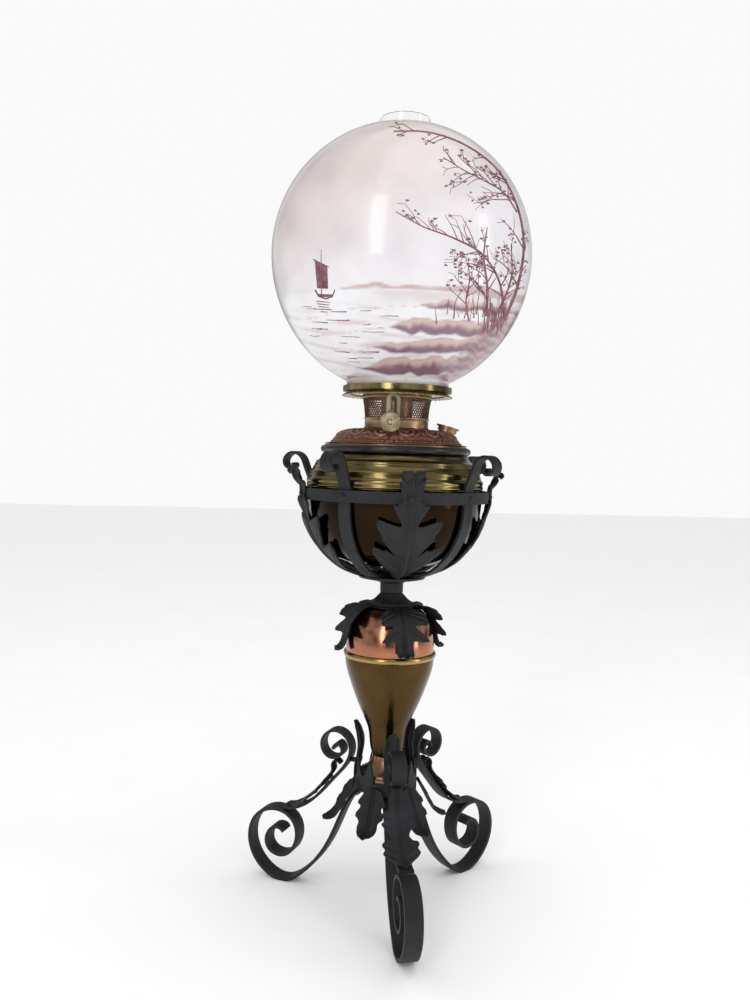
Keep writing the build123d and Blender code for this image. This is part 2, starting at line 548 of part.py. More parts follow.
with BuildPart() as wick_spindle:
    with BuildSketch(front_plane(KNOB_AZIMUTH, 20, SPINDLE_HEIGHT)):
        Circle(SPINDLE_RADIUS)
    extrude(amount=KNOB_FRONT - 20)
save(wick_spindle, "wick_spindle")

# The rack's middle tooth sits in a gap of the pinion, so the teeth are set off by half a step.
PINION_ROOT, PINION_TIP = 1.65, 2.9
pinion_tooth = [(PINION_ROOT - 0.3, 0.52), (PINION_ROOT, 0.52), (2.4, 0.34), (PINION_TIP, 0.14)]
pinion_tooth += [(x, -y) for x, y in reversed(pinion_tooth)]
with BuildPart() as wick_pinion:
    with BuildSketch(front_plane(KNOB_AZIMUTH, 34.8, SPINDLE_HEIGHT)):
        Circle(PINION_ROOT)
        with PolarLocations(0, PINION_TEETH, start_angle=180 / PINION_TEETH):
            Polygon(*pinion_tooth, align=None)
        Circle(SPINDLE_RADIUS, mode=Mode.SUBTRACT)
    extrude(amount=1.7)
save(wick_pinion, "wick_pinion")

KNOB_FLUTES = 24
with BuildPart() as wick_knob:
    with BuildSketch(front_plane(KNOB_AZIMUTH, KNOB_BACK, SPINDLE_HEIGHT)):
        Circle(KNOB_RADIUS)
        with PolarLocations(KNOB_RADIUS + 0.3, KNOB_FLUTES):
            Circle(0.7, mode=Mode.SUBTRACT)
        Circle(SPINDLE_RADIUS, mode=Mode.SUBTRACT)
    extrude(amount=KNOB_FRONT - KNOB_BACK)
    with BuildSketch(front_plane(KNOB_AZIMUTH, KNOB_FRONT, SPINDLE_HEIGHT)):
        Circle(2.6)
    extrude(amount=1.4)
save(wick_knob, "wick_knob")

spreader_outline = [(9, 500), (10.7, 500), (10.7, DRAFT_TUBE_TOP), (11.8, DRAFT_TUBE_TOP), (11.8, 515), (10.4, 515)]
spreader_outline += [(10.4, 517), (13.2, 517.5), (13.2, 518.3), (9.5, 520), (6, 523), (0, 524.5), (0, 523.3)]
spreader_outline += [(5.6, 521.8), (9, 518.8)]
save(turned(spreader_outline), "flame_spreader")

# ---------------------------------------------------------------- shade ring, chimney and globe
ring_outline = [(PLATE_RADIUS, PLATE_TOP), (DRUM_TOP_RADIUS - 1, PLATE_TOP)]
ring_outline += [(DRUM_TOP_RADIUS - 1, DRUM_TOP), (DRUM_TOP_RADIUS, DRUM_TOP), (DRUM_TOP_RADIUS, 510.6)]
ring_outline += [(51, 510.6), (52, 512), (FLANGE_OUTER, 512.6), (FLANGE_OUTER, 518), (51.7, 518)]
ring_outline += [(51.7, RING_FLOOR), (34.4, RING_FLOOR), (34.4, 517), (33.6, 517), (33.6, RING_FLOOR)]
ring_outline += [(PLATE_RADIUS - 1, RING_FLOOR), (PLATE_RADIUS - 1, PLATE_TOP)]
save(turned(ring_outline), "shade_ring")

chimney_path = [(31.9, RING_FLOOR - 2), (31.9, 521), (33.3, 537), (31.8, 556), (27.5, 590), (24.8, 640)]
chimney_path += [(23.9, 700), (24.2, CHIMNEY_TOP)]
chimney = spun(chimney_path, CHIMNEY_WALL)
with chimney:
    split(bisect_by=Plane.XY.offset(RING_FLOOR), keep=Keep.TOP)
save(chimney, "chimney")


def globe_curve(inset, neck):
    """One face of the globe, from its neck up to its hole. The lower half is deeper than the upper."""
    radius = GLOBE_RADIUS - inset
    foot = -math.acos(neck / radius)
    crown = math.acos(GLOBE_HOLE / radius)
    points = []
    for step in range(25):
        angle = foot + (crown - foot) * step / 24
        height = GLOBE_UPPER if angle > 0 else GLOBE_LOWER
        points.append((radius * math.cos(angle), GLOBE_CENTRE + (height - inset) * math.sin(angle)))
    return Spline(*points)


with BuildPart() as globe:
    with BuildSketch(Plane.XZ):
        with BuildLine():
            outside = globe_curve(0, SHADE_FITTER)
            inside = globe_curve(GLOBE_WALL, SHADE_FITTER - GLOBE_WALL)
            Polyline(outside @ 0, (SHADE_FITTER, RING_FLOOR), (SHADE_FITTER - GLOBE_WALL, RING_FLOOR), inside @ 0)
            Line(outside @ 1, inside @ 1)
        make_face()
    revolve(axis=Axis.Z)
save(globe, "globe")
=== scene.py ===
"""Looks of the oil lamp: formed leaves, pierced lattice, painted globe, finishes, light and camera.

Lengths in the tables below are in millimetres. A leaf or a turned piece is given as (radius, height).
"""

import json
import math
import random

import bpy
import numpy as np
from mathutils import Matrix, Vector


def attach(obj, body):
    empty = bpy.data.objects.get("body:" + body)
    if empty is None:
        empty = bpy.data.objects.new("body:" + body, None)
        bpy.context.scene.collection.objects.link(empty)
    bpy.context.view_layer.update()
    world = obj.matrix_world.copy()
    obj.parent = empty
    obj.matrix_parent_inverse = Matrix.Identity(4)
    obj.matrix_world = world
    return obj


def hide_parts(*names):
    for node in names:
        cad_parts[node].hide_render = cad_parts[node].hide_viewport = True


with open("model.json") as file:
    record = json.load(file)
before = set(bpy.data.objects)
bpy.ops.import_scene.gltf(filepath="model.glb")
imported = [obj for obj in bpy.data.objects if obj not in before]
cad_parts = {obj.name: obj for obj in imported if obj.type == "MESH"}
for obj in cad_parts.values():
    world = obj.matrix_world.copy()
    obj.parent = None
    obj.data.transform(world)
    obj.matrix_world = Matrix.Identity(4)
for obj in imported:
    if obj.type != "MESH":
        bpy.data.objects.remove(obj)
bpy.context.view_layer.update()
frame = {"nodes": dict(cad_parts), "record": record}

MM = 0.001
KNOB_AZIMUTH = -106
LEG_AZIMUTHS = {"front": -90, "right": 30, "left": 150}
CAGE_LEAF_AZIMUTHS = (-91, -11, 69, 189)


# ---------------------------------------------------------------- finishes
class Tree:
    """Small wrapper that builds one procedural material."""

    def __init__(self, name):
        self.material = bpy.data.materials.new(name)
        self.material.use_nodes = True
        self.nodes = self.material.node_tree.nodes
        self.links = self.material.node_tree.links
        self.shader = next(n for n in self.nodes if n.type == "BSDF_PRINCIPLED")
        self.place = self.nodes.new("ShaderNodeTexCoord").outputs["Object"]

    def stretched(self, scale):
        node = self.nodes.new("ShaderNodeMapping")
        node.inputs["Scale"].default_value = scale
        self.links.new(self.place, node.inputs["Vector"])
        return node.outputs["Vector"]

    def noise(self, scale, detail=4.0, rough=0.55, vector=None):
        node = self.nodes.new("ShaderNodeTexNoise")
        node.inputs["Scale"].default_value = scale
        node.inputs["Detail"].default_value = detail
        node.inputs["Roughness"].default_value = rough
        self.links.new(vector or self.place, node.inputs["Vector"])
        return node.outputs["Fac"]

    def ramp(self, factor, stops):
        node = self.nodes.new("ShaderNodeValToRGB")
        elements = node.color_ramp.elements
        while len(elements) < len(stops):
            elements.new(0.5)
        for element, (position, colour) in zip(elements, stops):
            element.position = position
            element.color = (*colour, 1)
        self.links.new(factor, node.inputs["Fac"])
        return node.outputs["Color"]

    def spread(self, factor, low, high, start=0.3, end=0.7):
        node = self.nodes.new("ShaderNodeMapRange")
        for name, value in zip(("From Min", "From Max", "To Min", "To Max"), (start, end, low, high)):
            node.inputs[name].default_value = value
        self.links.new(factor, node.inputs["Value"])
        return node.outputs["Result"]

    def wash_times(self, tint, share):
        """The mesh's own colours, multiplied by a tint."""
        wash = self.nodes.new("ShaderNodeVertexColor")
        wash.layer_name = "wash"
        node = self.nodes.new("ShaderNodeMix")
        node.data_type = "RGBA"
        node.blend_type = "MULTIPLY"
        node.inputs[0].default_value = share
        self.links.new(wash.outputs["Color"], node.inputs[6])
        self.links.new(tint, node.inputs[7])
        return node.outputs[2]

    def bump(self, heights, strength, depth):
        normal = None
        for height in heights:
            node = self.nodes.new("ShaderNodeBump")
            node.inputs["Strength"].default_value = strength
            node.inputs["Distance"].default_value = depth * MM
            self.links.new(height, node.inputs["Height"])
            if normal:
                self.links.new(normal, node.inputs["Normal"])
            normal = node.outputs["Normal"]
        self.links.new(normal, self.shader.inputs["Normal"])

    def put(self, name, value):
        if isinstance(value, (int, float, tuple)):
            self.shader.inputs[name].default_value = value
        else:
            self.links.new(value, self.shader.inputs[name])


def metal(name, dark, light, rough, cloud=14, grain=260, dent=0.25, depth=0.25, brushed=None):
    """Metal whose colour drifts between two tones, with a fine grain or a brushed finish."""
    tree = Tree(name)
    clouds = tree.noise(cloud, 5)
    tree.put("Base Color", tree.ramp(clouds, [(0.3, dark), (0.68, light)]))
    surface = tree.stretched(brushed) if brushed else None
    fine = tree.noise(grain, 3, vector=surface)
    tree.put("Roughness", tree.spread(fine, *rough))
    tree.put("Metallic", 1.0)
    tree.bump([fine], dent, depth)
    return tree.material


def forged(name, dark, light, rough, metallic=0.55, dents=0.5):
    """Blackened iron: hammer marks, a fine scale and patches rubbed paler."""
    tree = Tree(name)
    patches = tree.noise(38, 6, 0.6)
    tree.put("Base Color", tree.ramp(patches, [(0.3, dark), (0.75, light)]))
    hammered = tree.noise(85, 2, 0.45)
    scale = tree.noise(900, 4, 0.7)
    tree.put("Roughness", tree.spread(scale, *rough))
    tree.put("Metallic", metallic)
    tree.bump([scale, hammered], dents, 0.5)
    return tree.material


def dull(name, dark, light, rough, grain=500, dent=0.4, depth=0.3, stretch=None):
    """Enamel, paint, cork, cotton or the floor's paper."""
    tree = Tree(name)
    surface = tree.stretched(stretch) if stretch else None
    spots = tree.noise(grain, 5, 0.6, surface)
    tree.put("Base Color", tree.ramp(spots, [(0.35, dark), (0.65, light)]))
    tree.put("Roughness", tree.spread(spots, *rough))
    tree.bump([spots], dent, depth)
    return tree.material


def clear_glass():
    tree = Tree("chimney_glass_finish")
    waves = tree.noise(9, 2)
    tree.put("Base Color", tree.ramp(waves, [(0.3, (0.93, 0.96, 0.95)), (0.7, (0.98, 0.99, 0.98))]))
    tree.put("Roughness", tree.spread(tree.noise(40, 3), 0.0, 0.03))
    tree.put("Transmission Weight", 1.0)
    tree.put("IOR", 1.47)
    tree.bump([waves], 0.15, 0.3)
    return tree.material


def painted_glass():
    """Opal glass. The washes of colour are in the mesh, and a fine cloudiness is laid over them."""
    tree = Tree("painted_opal")
    drift = tree.ramp(tree.noise(26, 6, 0.6), [(0.3, (0.86, 0.845, 0.835)), (0.7, (1.0, 0.985, 0.975))])
    tree.put("Base Color", tree.wash_times(drift, 0.8))
    tree.put("Roughness", tree.spread(tree.noise(60, 4), 0.16, 0.26))
    tree.put("Coat Weight", 0.35)
    tree.put("Coat Roughness", 0.06)
    tree.put("Subsurface Weight", 0.12)
    tree.put("Subsurface Scale", 0.004)
    tree.bump([tree.noise(34, 3)], 0.12, 0.25)
    return tree.material


def patina_and_painted_light():
    """Embossed copper from the mesh's own tones: dark patina with painted shade in the hollows, and the high parts
    rubbed bright with a painted highlight.
    """
    tree = Tree("embossed_relief")
    stains = tree.noise(70, 5)
    shade = tree.ramp(stains, [(0.3, (0.6, 0.58, 0.55)), (0.7, (1.0, 0.98, 0.95))])
    tree.put("Base Color", tree.wash_times(shade, 1.0))
    tree.put("Roughness", tree.spread(stains, 0.26, 0.42))
    tree.put("Metallic", 0.9)
    tree.bump([tree.noise(500, 4)], 0.2, 0.2)
    return tree.material


FINISHES = {
    "wrought_iron": forged(
        "wrought_iron_finish", (0.005, 0.0055, 0.0065), (0.017, 0.018, 0.02), (0.5, 0.68), 0.2
    ),
    "rivet_iron": forged(
        "rivet_iron_finish", (0.008, 0.009, 0.011), (0.035, 0.036, 0.04), (0.35, 0.55), dents=0.3
    ),
    "steel": metal("steel_finish", (0.24, 0.24, 0.24), (0.42, 0.41, 0.4), (0.3, 0.45)),
    "foot_brass": metal("foot_brass_finish", (0.2, 0.1, 0.055), (0.42, 0.25, 0.15), (0.28, 0.42), 30),
    "aged_brass": metal(
        "aged_brass_finish", (0.036, 0.021, 0.008), (0.115, 0.068, 0.024), (0.2, 0.3), 10, 420, 0.2, 0.12,
        (1, 1, 0.06)
    ),
    "bead_brass": metal("bead_brass_finish", (0.28, 0.18, 0.06), (0.5, 0.34, 0.13), (0.18, 0.3)),
    "copper": metal(
        "copper_finish", (0.32, 0.12, 0.065), (0.55, 0.25, 0.15), (0.12, 0.22), 12, 420, 0.12, 0.1, (1, 1, 0.06)
    ),
    "bowl_bronze": metal("bowl_bronze_finish", (0.007, 0.008, 0.004), (0.026, 0.014, 0.008), (0.08, 0.16), 9),
    "shoulder_brass": metal(
        "shoulder_brass_finish", (0.13, 0.1, 0.038), (0.26, 0.2, 0.08), (0.14, 0.25), 16, 300, 0.15, 0.12, (1, 1, 5)
    ),
    "black_enamel": dull("black_enamel_finish", (0.004, 0.004, 0.005), (0.011, 0.011, 0.012), (0.24, 0.34), 60, 0.04),
    "tank_brass": metal("tank_brass_finish", (0.17, 0.105, 0.05), (0.3, 0.2, 0.1), (0.3, 0.42)),
    "embossed_copper": metal("embossed_finish", (0.12, 0.05, 0.035), (0.5, 0.26, 0.18), (0.26, 0.45), 42, 500, 0.3),
    "burner_brass": metal("burner_brass_finish", (0.22, 0.14, 0.07), (0.5, 0.34, 0.2), (0.25, 0.4), 30),
    "cap_brass": metal("cap_brass_finish", (0.2, 0.13, 0.07), (0.42, 0.29, 0.17), (0.25, 0.4), 60),
    "cork": dull("cork_finish", (0.2, 0.11, 0.05), (0.5, 0.33, 0.18), (0.7, 0.9), 700),
    "lattice_copper": metal("lattice_finish", (0.07, 0.035, 0.022), (0.26, 0.13, 0.08), (0.32, 0.5), 60),
    "frame_nickel": metal("frame_nickel_finish", (0.2, 0.17, 0.13), (0.42, 0.37, 0.29), (0.25, 0.38), 60),
    "knob_brass": metal("knob_brass_finish", (0.34, 0.28, 0.17), (0.62, 0.54, 0.38), (0.24, 0.36), 90),
    "wick_cotton": dull(
        "wick_cotton_finish", (0.5, 0.46, 0.36), (0.8, 0.76, 0.64), (0.85, 0.95), 900, 0.8, 0.5, (1, 1, 0.4)
    ),
    "ring_brass": metal("ring_brass_finish", (0.13, 0.09, 0.035), (0.46, 0.36, 0.16), (0.14, 0.26), 34),
    "clear_glass": clear_glass(),
    "opal_glass": painted_glass(),
}

slots = {entry["node"]: entry["material_slot"] for entry in frame["record"]["subparts"]}
for name, node in frame["nodes"].items():
    node.data.materials.clear()
    node.data.materials.append(FINISHES[slots[name]])


# ---------------------------------------------------------------- mesh helpers
def piece(name, corners, faces, body, slot, finish=None, instead_of=(), flat=False):
    mesh = bpy.data.meshes.new(name)
    mesh.from_pydata([tuple(float(v) * MM for v in corner) for corner in corners], [], faces)
    mesh.validate()
    mesh.polygons.foreach_set("use_smooth", [not flat] * len(mesh.polygons))
    mesh.update()
    thing = bpy.data.objects.new(name, mesh)
    bpy.context.scene.collection.objects.link(thing)
    mesh.materials.append(finish or FINISHES[slot])
    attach(thing, body)
    if instead_of:
        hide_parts(*instead_of)
    return thing


def ring_faces(rows, columns, first=0, loop=True):
    """Quads between rows of points that go right round the axis."""
    faces = []
    for row in range(rows if loop else rows - 1):
        here, there = first + row * columns, first + (row + 1) % rows * columns
        for column in range(columns):
            after = (column + 1) % columns
            faces.append((here + column, here + after, there + after, there + column))
    return faces


def round_section(outline, columns, shape=None):
    """Closed (radius, height) outline turned about the axis. The shape moves each point by (out, up)."""
    angles = np.arange(columns) * 2 * math.pi / columns
    corners = []
    for index, (radius, height) in enumerate(outline):
        out, up = shape(index, radius, height, angles) if shape else (0 * angles, 0 * angles)
        corners.append(np.c_[(radius + out) * np.cos(angles), (radius + out) * np.sin(angles), height + up])
    return np.concatenate(corners)


def dense(points, step):
    """Points at an even step along a smooth line through the given ones."""
    points = np.array(points, float)
    padded = np.vstack([2 * points[0] - points[1], points, 2 * points[-1] - points[-2]])
    line = []
    for a, b, c, d in zip(padded, padded[1:], padded[2:], padded[3:]):
        for t in np.arange(0, 1, 0.1):
            square, cube = 2 * a - 5 * b + 4 * c - d, 3 * b - a - 3 * c + d
            line.append(0.5 * (2 * b + (c - a) * t + square * t**2 + cube * t**3))
    line = np.array(line + [points[-1]])
    along = np.r_[0, np.cumsum(np.linalg.norm(np.diff(line, axis=0), axis=1))]
    places = np.linspace(0, along[-1], max(2, int(along[-1] / step) + 1))
    return places, np.c_[np.interp(places, along, line[:, 0]), np.interp(places, along, line[:, 1])]


def eased(x, table, softness=0.55):
    """Value of a table at x: between straight and smooth-stepped, so that lobes come out rounded."""
    table = np.array(table, float)
    index = np.clip(np.searchsorted(table[:, 0], x) - 1, 0, len(table) - 2)
    start, end = table[index], table[index + 1]
    t = np.clip((x - start[..., 0]) / (end[..., 0] - start[..., 0]), 0, 1)
    t = (1 - softness) * t + softness * t * t * (3 - 2 * t)
    return start[..., 1] + (end[..., 1] - start[..., 1]) * t


# ---------------------------------------------------------------- forged leaves
def leaf_mesh(path, widths, gauge, azimuth, lift, cup, rib, across=18, step=0.6):
    """Sheet leaf on a (radius, height) path. Its rows sweep along the leaf like veins, so lobes lean with them.

    widths gives half the leaf's width at distances along the path. A vein is raised at each lobe's widest row.
    """
    places, line = dense(path, step)
    tangent = np.gradient(line, axis=0)
    tangent /= np.linalg.norm(tangent, axis=1)[:, None]
    side = np.array([math.cos(math.radians(azimuth + 90)), math.sin(math.radians(azimuth + 90))])
    out = np.array([math.cos(math.radians(azimuth)), math.sin(math.radians(azimuth))])
    half = eased(places, widths)
    half = np.convolve(np.pad(half, 2, mode="edge"), (0.1, 0.24, 0.32, 0.24, 0.1), mode="valid")
    share = np.linspace(-1, 1, 2 * across + 1)
    wide = half[:, None] * share[None, :]
    end = places[-1]
    along = places[:, None] + lift * np.abs(wide) ** 1.15 / 1.6
    along = np.clip(along, 0, end) + 0.02 * (np.clip(along, 0, end) - along)
    radius, height = np.interp(along, places, line[:, 0]), np.interp(along, places, line[:, 1])
    run, rise = np.interp(along, places, tangent[:, 0]), np.interp(along, places, tangent[:, 1])
    tips = [index for index in range(2, len(half) - 2) if half[index] == max(half[index - 2:index + 3])]
    veins = np.zeros(len(places))
    for index in tips:
        if half[index] > 10:
            veins += np.exp(-(((places - places[index]) / 1.3) ** 2))
    fullness = half[:, None] / max(h for p, h in widths)
    raised = rib * np.exp(-((wide / 1.5) ** 2)) - 0.55 * rib * np.exp(-(((np.abs(wide) - 3.4) / 1.7) ** 2))
    slope = np.gradient(half, places)[:, None]
    raised = raised + cup * wide**2 + 0.5 * rib * np.abs(share)[None, :] * (fullness - 0.55)
    raised = raised + 0.55 * rib * veins[:, None] * np.clip(np.abs(wide) - 2, 0, 8) / 8
    raised = raised + 0.12 * rib * np.sin(np.abs(wide) * 1.1) * np.abs(share)[None, :] * np.clip(np.abs(slope), 0, 1)
    radius, height = radius + rise * raised, height - run * raised
    rows, columns = wide.shape
    corners = []
    for offset in (gauge / 2, -gauge / 2):
        r, z = radius + rise * offset, height - run * offset
        corners.append(np.stack([r * out[0] + wide * side[0], r * out[1] + wide * side[1], z], -1).reshape(-1, 3))
    count = rows * columns
    faces = []
    for row in range(rows - 1):
        for column in range(columns - 1):
            a = row * columns + column
            quad = (a, a + 1, a + columns + 1, a + columns)
            faces += [quad[::-1], tuple(corner + count for corner in quad)]
    edge = list(range(columns)) + [row * columns + columns - 1 for row in range(1, rows)]
    edge += [(rows - 1) * columns + column for column in range(columns - 2, -1, -1)]
    edge += [row * columns for row in range(rows - 2, 0, -1)]
    for a, b in zip(edge, edge[1:] + edge[:1]):
        faces.append((a, b, b + count, a + count))
    return np.concatenate(corners), faces


def leaf(name, azimuth, instead_of, form):
    corners, faces = leaf_mesh(azimuth=azimuth, **form)
    return piece(name, corners, faces, "stand", "wrought_iron", instead_of=instead_of)


CAGE_LEAF = {
    "path": [(19, 332), (31, 332), (46, 336.9), (54.5, 341.1), (63.8, 348), (73.3, 357.6), (81, 368.8), (86.8, 380.2),
             (90.2, 391), (93.2, 399.5), (94.8, 406), (94.8, 417), (96.7, 424), (99.2, 429), (102, 433.6), (105, 435),
             (106.4, 432.8), (104.6, 431.2)],
    "widths": [(0, 4.5), (14, 5), (22, 7), (26, 9), (29, 24), (31, 30), (35, 31.5), (40, 31), (45, 24), (48, 20),
               (50.5, 20.5), (52.5, 12), (54, 9.5), (56, 21), (58, 25.5), (60.5, 24), (62.5, 28.5), (66, 30.5),
               (70, 30), (74, 26), (79, 19.5), (83, 14), (86.5, 9.5), (89, 7.5), (92, 8.5), (95, 12.5), (98, 16),
               (101, 17), (104, 12), (106.5, 13.5), (108.5, 12), (111.5, 7.8), (116, 9.5), (124, 11), (134, 11),
               (142, 9.5), (148, 7.5), (153, 5)],
    "gauge": 2.0, "lift": 0.95, "cup": -0.0045, "rib": 1.5,
}
BRACE_LEAF = {
    "path": [(49, 132), (53.5, 135.5), (57.5, 131.5), (57.5, 124), (66.5, 112), (78.5, 98), (91.5, 87.2), (101, 82.2),
             (109, 80.9)],
    "widths": [(0, 4), (8, 5.5), (16, 6), (24, 7), (33, 8.5), (37, 13), (41, 16), (43.5, 13.5), (46, 13.5),
               (49, 16.5), (51.5, 15.5), (54, 10), (58, 8.5), (63, 11), (67, 16.5), (70, 18), (72.5, 15.5),
               (75, 16), (78, 18), (80.5, 15.5), (83, 9), (86, 5), (88, 3)],
    "gauge": 1.6, "lift": -0.5, "cup": 0.004, "rib": 1.1,
}
SKIRT_LEAF = {
    "path": [(32.2, 124), (35.5, 118), (39.5, 111), (46.6, 98), (53.4, 89), (63.5, 85.5)],
    "widths": [(0, 9), (4, 11), (7, 13.5), (10, 14), (12.5, 11), (15, 10.5), (19, 14), (22, 14), (26, 11), (29, 9.5),
               (34, 10), (40, 9), (46, 6.5), (50, 3.5), (51.7, 1.5)],
    "gauge": 1.6, "lift": 0.5, "cup": -0.008, "rib": 1.0,
}
CROWN_LEAF = {
    "path": [(31.8, 119.5), (31.8, 132), (29.5, 146), (28.5, 158), (31, 170), (35.5, 179)],
    "widths": [(0, 7.5), (10, 8), (16, 10), (20, 7.5), (30, 8), (40, 8.5), (52, 6.5), (58, 4), (61, 1.8)],
    "gauge": 1.6, "lift": 0.3, "cup": -0.01, "rib": 0.9,
}
CAP_LEAF = {
    "path": [(14, 300), (24, 299.8), (33.5, 297), (40.2, 289.8), (44, 280.5), (46.2, 270), (48.7, 262.5),
             (52.7, 258.4), (57, 259)],
    "widths": [(0, 7), (6, 9), (9, 14), (11.5, 20), (14, 23), (16, 22), (18, 24), (22, 22.5), (25, 17), (28, 11.5),
               (30, 11), (32, 18), (34, 23), (36, 24), (39, 20), (42, 13), (45, 8.5), (50, 8.3), (57, 8.6),
               (62, 7.8), (66, 5), (68.5, 2)],
    "gauge": 1.6, "lift": 0.55, "cup": -0.011, "rib": 1.5,
}
for number, azimuth in enumerate(CAGE_LEAF_AZIMUTHS):
    leaf(f"cage_leaf_formed_{number + 1}", azimuth, [f"cage_leaf_{number + 1}"], CAGE_LEAF)
for side, azimuth in LEG_AZIMUTHS.items():
    leaf(f"brace_leaf_formed_{side}", azimuth, [f"brace_leaf_{side}"], BRACE_LEAF)
    leaf(f"crown_leaf_formed_{side}", azimuth, [f"crown_leaf_{side}"], CROWN_LEAF)
for number in range(6):
    leaf(f"skirt_leaf_formed_{number + 1}", 60 * number - 60, [f"skirt_leaf_{number + 1}"], SKIRT_LEAF)

# The cap's four leaves and the disc they spring from are one sheet of iron.
corners, faces = np.zeros((0, 3)), []
for azimuth in (-83, 7, 97, 187):
    more, more_faces = leaf_mesh(azimuth=azimuth, **CAP_LEAF)
    faces += [tuple(len(corners) + corner for corner in face) for face in more_faces]
    corners = np.vstack([corners, more])
disc = [(6, 299.1), (21, 299.1), (23, 299.6), (23.4, 300.1), (22.6, 300.9), (6, 300.9)]
faces += ring_faces(len(disc), 96, len(corners))
corners = np.vstack([corners, round_section(disc, 96)])
piece("dome_leaf_cap_formed", corners, faces, "stand", "wrought_iron", instead_of=["dome_leaf_cap"])


# ---------------------------------------------------------------- turned and embossed pieces
SCROLLS = 14


def cap_flutes(index, radius, height, angles):
    """Gadroons that twist down the cap's cone, and a row of small beads round its lip."""
    if 304.4 < height < 313:
        twist = angles * 16 + (height - 304) * 0.22
        return 1.1 * np.cos(twist) * math.sin(math.pi * (height - 304) / 9.5), 0 * angles
    if radius > 21 and 301.2 < height < 304.4:
        return 0.35 * np.cos(angles * 48), 0 * angles
    return 0 * angles, 0 * angles


cap = [(4, 301.1), (21, 301.1), (21.8, 301.6), (22, 302.3), (21.6, 303.2), (20.6, 303.9)]
cap += [tuple(point) for point in dense([(20.2, 304.6), (16.5, 306.4), (13.2, 309.6), (11, 312.9)], 0.7)[1]]
cap += [(10.6, 313.6), (4, 313.6)]
piece("gadroon_cap_formed", round_section(cap, 480, cap_flutes), ring_faces(len(cap), 480), "stand", "wrought_iron",
      instead_of=["gadroon_cap"])

dome_line = dense([(66.6, 461.7), (64.7, 463), (61.8, 466.2), (59, 470), (55.5, 472.6), (50, 474.6), (44, 475.7),
                   (37.2, 475.95)], 0.6)[1]


def scrollwork(index, radius, height, angles):
    """Low relief: a row of curling scrolls, turned left and right by turns, between cords of beads."""
    if index >= len(dome_line):
        return 0 * angles, 0 * angles
    across = index / len(dome_line)
    cords = np.exp(-(((across - 0.08) / 0.03) ** 2)) + np.exp(-(((across - 0.95) / 0.03) ** 2))
    lift = 0.45 * cords * (1 + np.cos(angles * 90)) / 2
    cell = (angles * SCROLLS / (2 * math.pi)) % 2
    turned_back = np.where(cell < 1, 1, -1)
    sideways = (cell % 1 - 0.5) * turned_back * 2 * math.pi * radius / SCROLLS
    upward = (across - 0.5) * 33
    distance, bearing = np.hypot(sideways, upward), np.arctan2(upward, sideways)
    curl = 0.5 + 0.5 * np.cos(bearing + 1.15 * distance)
    leafy = 0.5 + 0.5 * np.cos(7 * bearing - 0.9 * distance)
    inside = np.exp(-((distance / 11) ** 4))
    lift = lift + inside * (0.5 * curl + 0.18 * leafy * curl) + (1 - inside) * 0.3 * leafy
    edge = min(1, max(0, across - 0.12) / 0.06) * min(1, max(0, 0.92 - across) / 0.06)
    lift = np.where(cords > 0.3, lift * cords, lift * edge)
    return lift * 1.2, lift * 0.9


dome_back = [(radius - 0.5, height - 0.45) for radius, height in dome_line[::-1][::4]]
dome = [tuple(point) for point in dome_line] + dome_back
dome_corners = round_section(dome, 900, scrollwork)
relief = np.linalg.norm(dome_corners[:, :2], axis=1) - np.repeat([radius for radius, height in dome], 900)
emboss = piece("tank_dome_embossed", dome_corners, ring_faces(len(dome), 900), "font", "embossed_copper",
               finish=patina_and_painted_light(), instead_of=["tank_dome"])
# Hollows get dark patina and painted shade; the raised relief gets worn bright copper and a painted highlight.
worn_and_highlit = np.clip(relief[:, None] / 0.6, 0, 1) ** 0.7
tones = np.array((0.16, 0.07, 0.045)) * (1 - worn_and_highlit) + np.array((0.52, 0.27, 0.185)) * worn_and_highlit
emboss.data.color_attributes.new("wash", "FLOAT_COLOR", "POINT").data.foreach_set(
    "color", np.c_[tones, np.ones(len(tones))].ravel())
inner = dense([(37.4, 476.1), (33, 476.1), (28.6, 476.1)], 1.5)[1]
plate = [tuple(p) for p in inner] + [(r, z - 0.6) for r, z in inner[::-1]]
skirt = [(70.2, 461.6), (66.7, 461.9), (66.2, 461.3), (70.2, 461)]
corners = np.vstack([round_section(plate, 160), round_section(skirt, 160)])
piece("tank_dome_rims", corners, ring_faces(len(plate), 160) + ring_faces(len(skirt), 160, len(plate) * 160), "font",
      "embossed_copper")


# Spun shoulder: a plain sloping top, two fine lines, a stepped band and a roll above the hoop.
shoulder = [(68.9, 451.9), (71.2, 451.9), (72.4, 449), (74.4, 446.2), (77.3, 444), (78.6, 443.6), (79, 442.9),
            (78.7, 442.1), (79.6, 441.5), (80, 440.7), (79.7, 439.9), (80.6, 439.1), (82.4, 435.6), (83, 434.8),
            (84.5, 434.3), (84.7, 433.4), (84.5, 432.5), (85.4, 429.4), (85.6, 428.3), (86.7, 427.6), (87.6, 425.8),
            (87.7, 424), (86.9, 422.4), (87.7, 421.6), (87.9, 420.4), (87.4, 418.4), (85.9, 418.4), (84.3, 428),
            (79, 438.6), (69, 448.4)]
piece("shoulder_spun", round_section(shoulder, 288), ring_faces(len(shoulder), 288), "stand", "shoulder_brass",
      instead_of=["shoulder"])


# ---------------------------------------------------------------- honeycomb drum
def drum_radius(height):
    return float(np.interp(height, (476.5, 487, 498, 508), (31.5, 31.5, 32.6, 34.5)))


